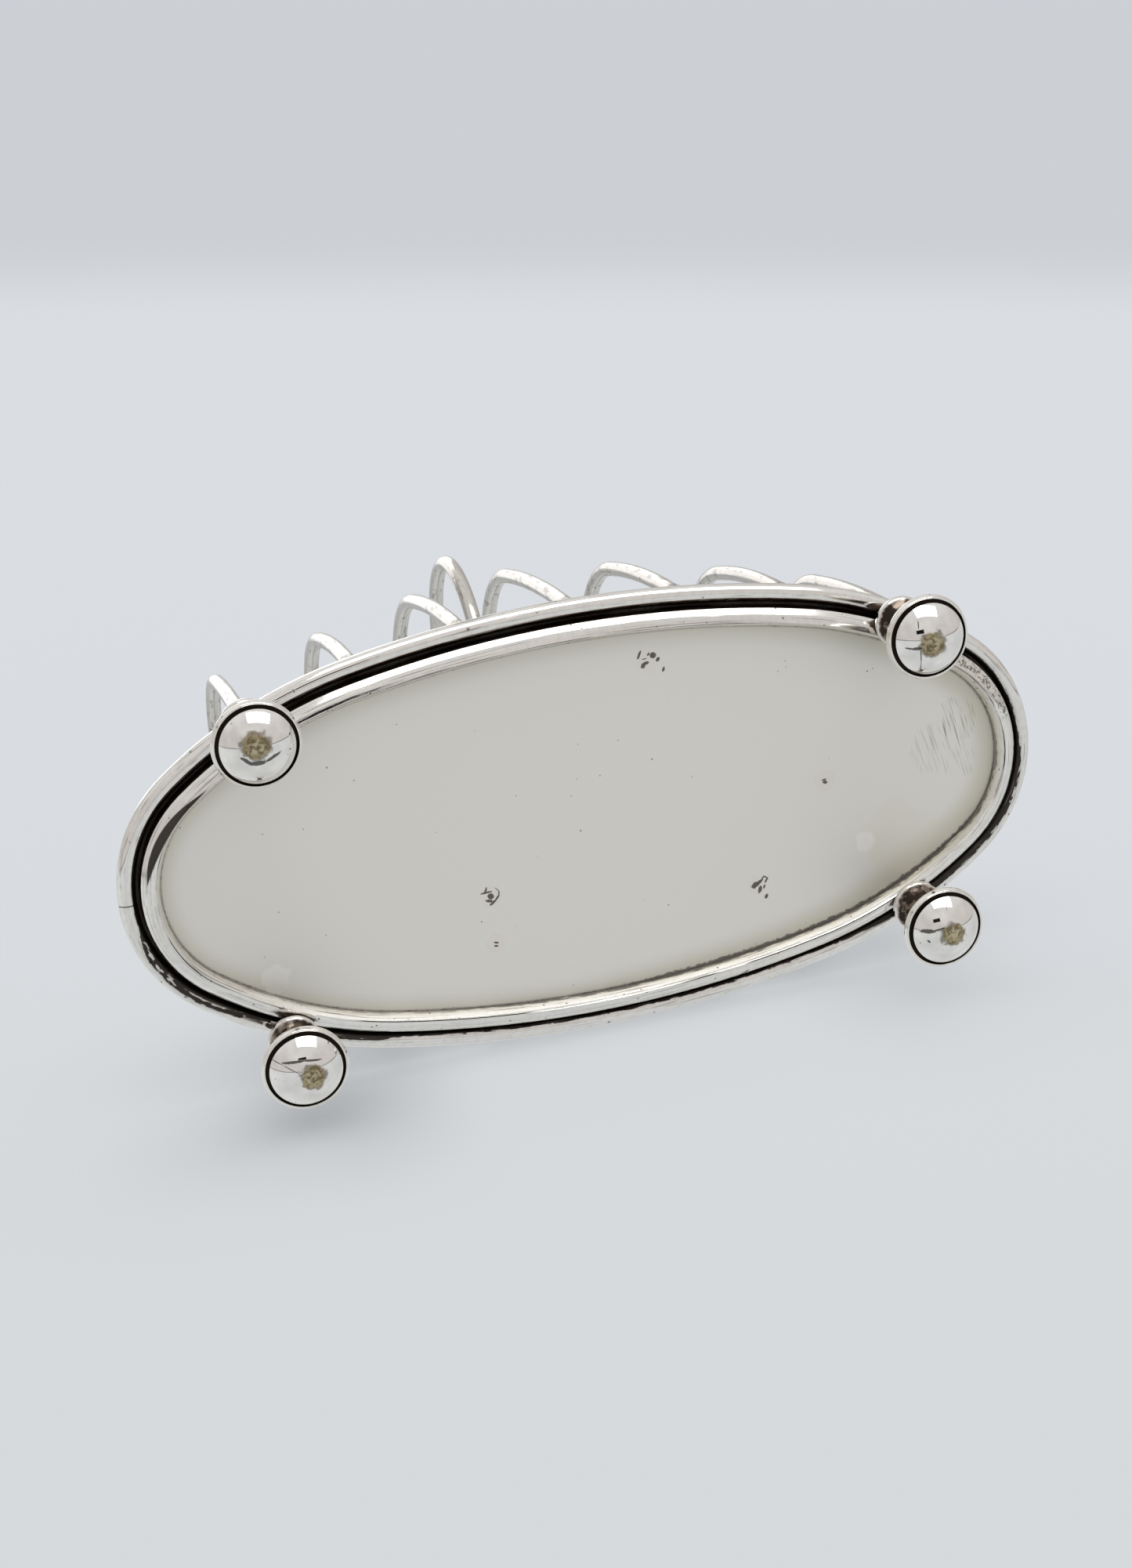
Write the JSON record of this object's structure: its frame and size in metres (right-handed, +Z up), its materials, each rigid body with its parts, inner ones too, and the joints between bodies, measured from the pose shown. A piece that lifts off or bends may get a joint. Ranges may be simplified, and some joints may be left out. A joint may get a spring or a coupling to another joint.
{
  "type": "toast rack",
  "caption": "Oval toast rack of soldered silver-plated wire: graduated hoops over a flat rimmed base, a ring handle on top and button feet on short turned stems.",
  "frame": {"origin": "on the resting plane of the feet, under the middle of the oval base", "axes": "+Z up, X along the oval, +X towards the end whose feet stand slightly wider apart, Y across the oval"},
  "size_m": [0.17, 0.0808, 0.1527],
  "materials": {
    "ring_silver": "old silver plate, polished, with black tarnish on its inner side",
    "rim_silver": "old silver plate, soft polish, pitted",
    "panel_silver": "old silver plate, dull satin underside with small stains",
    "wire_silver": "old silver plate, polished",
    "dome_silver": "old silver plate, polished, worn through to yellow metal at the crown",
    "cup_silver": "old silver plate, polished rim, tarnished back",
    "stem_silver": "old silver plate, tarnished in its hollows"
  },
  "bodies": {
    "root": {"outer_ring": "ring_silver", "base_rim": "rim_silver", "base_panel": "panel_silver", "handle_ring": "wire_silver", "hoop_1": "wire_silver", "hoop_2": "wire_silver", "hoop_3": "wire_silver", "hoop_4": "wire_silver", "hoop_5": "wire_silver", "hoop_6": "wire_silver", "hoop_7": "wire_silver", "foot_dome_front_left": "dome_silver", "foot_cup_front_left": "cup_silver", "foot_stem_front_left": "stem_silver", "foot_dome_back_left": "dome_silver", "foot_cup_back_left": "cup_silver", "foot_stem_back_left": "stem_silver", "foot_dome_front_right": "dome_silver", "foot_cup_front_right": "cup_silver", "foot_stem_front_right": "stem_silver", "foot_dome_back_right": "dome_silver", "foot_cup_back_right": "cup_silver", "foot_stem_back_right": "stem_silver"}
  },
  "joints": []
}
